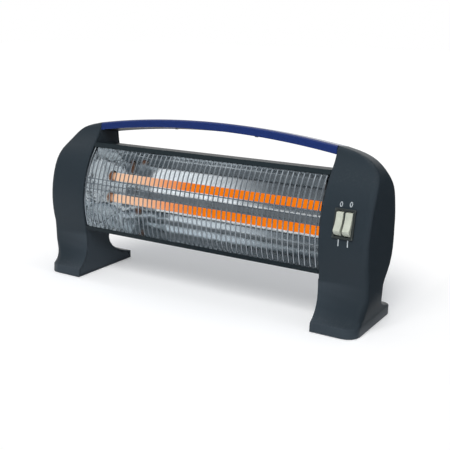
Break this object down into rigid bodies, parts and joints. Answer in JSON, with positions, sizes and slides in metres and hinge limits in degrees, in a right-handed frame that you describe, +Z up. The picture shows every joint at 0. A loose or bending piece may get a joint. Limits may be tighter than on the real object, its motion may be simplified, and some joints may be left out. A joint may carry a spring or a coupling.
{
  "type": "quartz tube heater",
  "caption": "Portable tabletop heater with quartz tubes in a polished reflector between moulded end caps, wire grille, arched handle and rocker switches.",
  "frame": {"origin": "on the floor, under the middle of the heater", "axes": "+X along the tubes towards the end with the switches, -Y towards the grille, +Z up"},
  "size_m": [0.486, 0.114, 0.2254],
  "materials": {
    "cap_plastic": "satin moulded, dark blue-grey",
    "handle_plastic": "smooth moulded, deep blue",
    "dark_plastic": "moulded, near black",
    "rocker_plastic": "smooth, pale grey-green",
    "painted_sheet": "dark satin enamel",
    "polished_sheet": "polished",
    "bright_wire": "bright plated",
    "quartz": "milky",
    "glowing_element": "glowing",
    "ceramic": "unglazed ceramic",
    "zinc_steel": "zinc plated",
    "terminal_brass": "plain",
    "pad_rubber": "moulded",
    "lead_sleeve": "glass-fibre sleeve"
  },
  "bodies": {
    "heater": {"left_end_shell": "cap_plastic", "right_end_shell": "cap_plastic", "left_inner_cover": "cap_plastic", "right_inner_cover": "cap_plastic", "handle_grip": "handle_plastic", "handle_liner": "dark_plastic", "switch_frame": "dark_plastic", "tip_over_switch": "dark_plastic", "rear_casing": "painted_sheet", "reflector": "polished_sheet", "left_reflector_end": "polished_sheet", "right_reflector_end": "polished_sheet", "front_grille": "bright_wire", "lower_quartz_tube": "quartz", "upper_quartz_tube": "quartz", "lower_heating_coil": "glowing_element", "upper_heating_coil": "glowing_element", "lower_left_ceramic": "ceramic", "lower_right_ceramic": "ceramic", "upper_left_ceramic": "ceramic", "upper_right_ceramic": "ceramic", "terminal_block": "ceramic", "left_tube_bracket": "zinc_steel", "right_tube_bracket": "zinc_steel", "thermal_cutout": "zinc_steel", "left_cover_screw_1": "zinc_steel", "right_cover_screw_1": "zinc_steel", "left_cover_screw_2": "zinc_steel", "right_cover_screw_2": "zinc_steel", "left_cover_screw_3": "zinc_steel", "right_cover_screw_3": "zinc_steel", "left_casing_screw_1": "zinc_steel", "right_casing_screw_1": "zinc_steel", "left_casing_screw_2": "zinc_steel", "right_casing_screw_2": "zinc_steel", "left_tongue_screw": "zinc_steel", "right_tongue_screw": "zinc_steel", "left_liner_screw": "zinc_steel", "right_liner_screw": "zinc_steel", "switch_blade_1": "terminal_brass", "switch_blade_2": "terminal_brass", "switch_blade_3": "terminal_brass", "switch_blade_4": "terminal_brass", "cord_gland": "pad_rubber", "left_front_foot_pad": "pad_rubber", "right_front_foot_pad": "pad_rubber", "left_rear_foot_pad": "pad_rubber", "right_rear_foot_pad": "pad_rubber", "return_lead": "lead_sleeve", "upper_feed_lead": "lead_sleeve", "lower_feed_lead": "lead_sleeve"},
    "left_button": {"left_rocker": "rocker_plastic"},
    "right_button": {"right_rocker": "rocker_plastic"}
  },
  "joints": [
    {"name": "left_switch", "type": "hinge", "parent": "heater", "child": "left_button", "pos_m": [0.2061, -0.03478, 0.13009], "axis": [1, 0, 0], "range_deg": [0, 24]},
    {"name": "right_switch", "type": "hinge", "parent": "heater", "child": "right_button", "pos_m": [0.2173, -0.03478, 0.13009], "axis": [1, 0, 0], "range_deg": [0, 24]}
  ]
}
